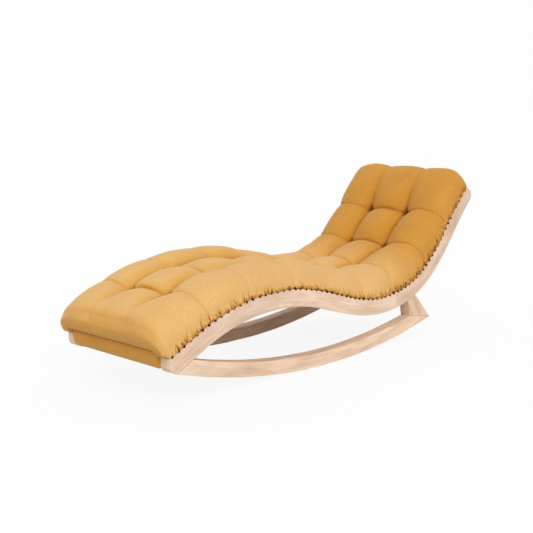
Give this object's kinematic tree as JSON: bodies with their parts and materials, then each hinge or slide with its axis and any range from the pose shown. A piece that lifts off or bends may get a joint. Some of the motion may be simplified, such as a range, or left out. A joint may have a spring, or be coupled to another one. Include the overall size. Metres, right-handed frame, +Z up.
{
  "type": "rocking chaise lounge",
  "caption": "Low S-curved chaise lounge on two wooden rockers, with a slatted deck and a quilted, tufted cushion gathered along the rails.",
  "frame": {"origin": "centre of the overall box, at the floor under the rockers", "axes": "+X from the foot end to the head end, +Y across to the right side frame, +Z up"},
  "size_m": [1.8082, 0.56, 0.7031],
  "materials": {
    "frame_wood": "pale whitewashed, matt, fine lengthwise grain",
    "hidden_wood": "unfinished, planed",
    "fabric": "matte mustard weave, quilted over soft filling",
    "foam": "open-cell cushion foam"
  },
  "bodies": {
    "root": {"foot_rail_left": "frame_wood", "seat_rail_left": "frame_wood", "back_rail_left": "frame_wood", "rocker_left": "frame_wood", "strut_left": "frame_wood", "foot_joint_tenon_left": "hidden_wood", "back_joint_tenon_left": "hidden_wood", "nose_tenon_left": "hidden_wood", "strut_head_tenon_left": "hidden_wood", "strut_foot_tenon_left": "hidden_wood", "foot_rail_right": "frame_wood", "seat_rail_right": "frame_wood", "back_rail_right": "frame_wood", "rocker_right": "frame_wood", "strut_right": "frame_wood", "foot_joint_tenon_right": "hidden_wood", "back_joint_tenon_right": "hidden_wood", "nose_tenon_right": "hidden_wood", "strut_head_tenon_right": "hidden_wood", "strut_foot_tenon_right": "hidden_wood", "foot_cross_rail": "hidden_wood", "head_cross_rail": "hidden_wood", "knee_stretcher": "hidden_wood", "seat_stretcher": "hidden_wood", "slat_01": "hidden_wood", "slat_02": "hidden_wood", "slat_03": "hidden_wood", "slat_04": "hidden_wood", "slat_05": "hidden_wood", "slat_06": "hidden_wood", "slat_07": "hidden_wood", "slat_08": "hidden_wood", "slat_09": "hidden_wood", "slat_10": "hidden_wood", "slat_11": "hidden_wood", "slat_12": "hidden_wood", "slat_13": "hidden_wood", "quilted_cover": "fabric", "foam_core": "foam", "foot_border": "fabric", "head_border": "fabric"}
  },
  "joints": []
}
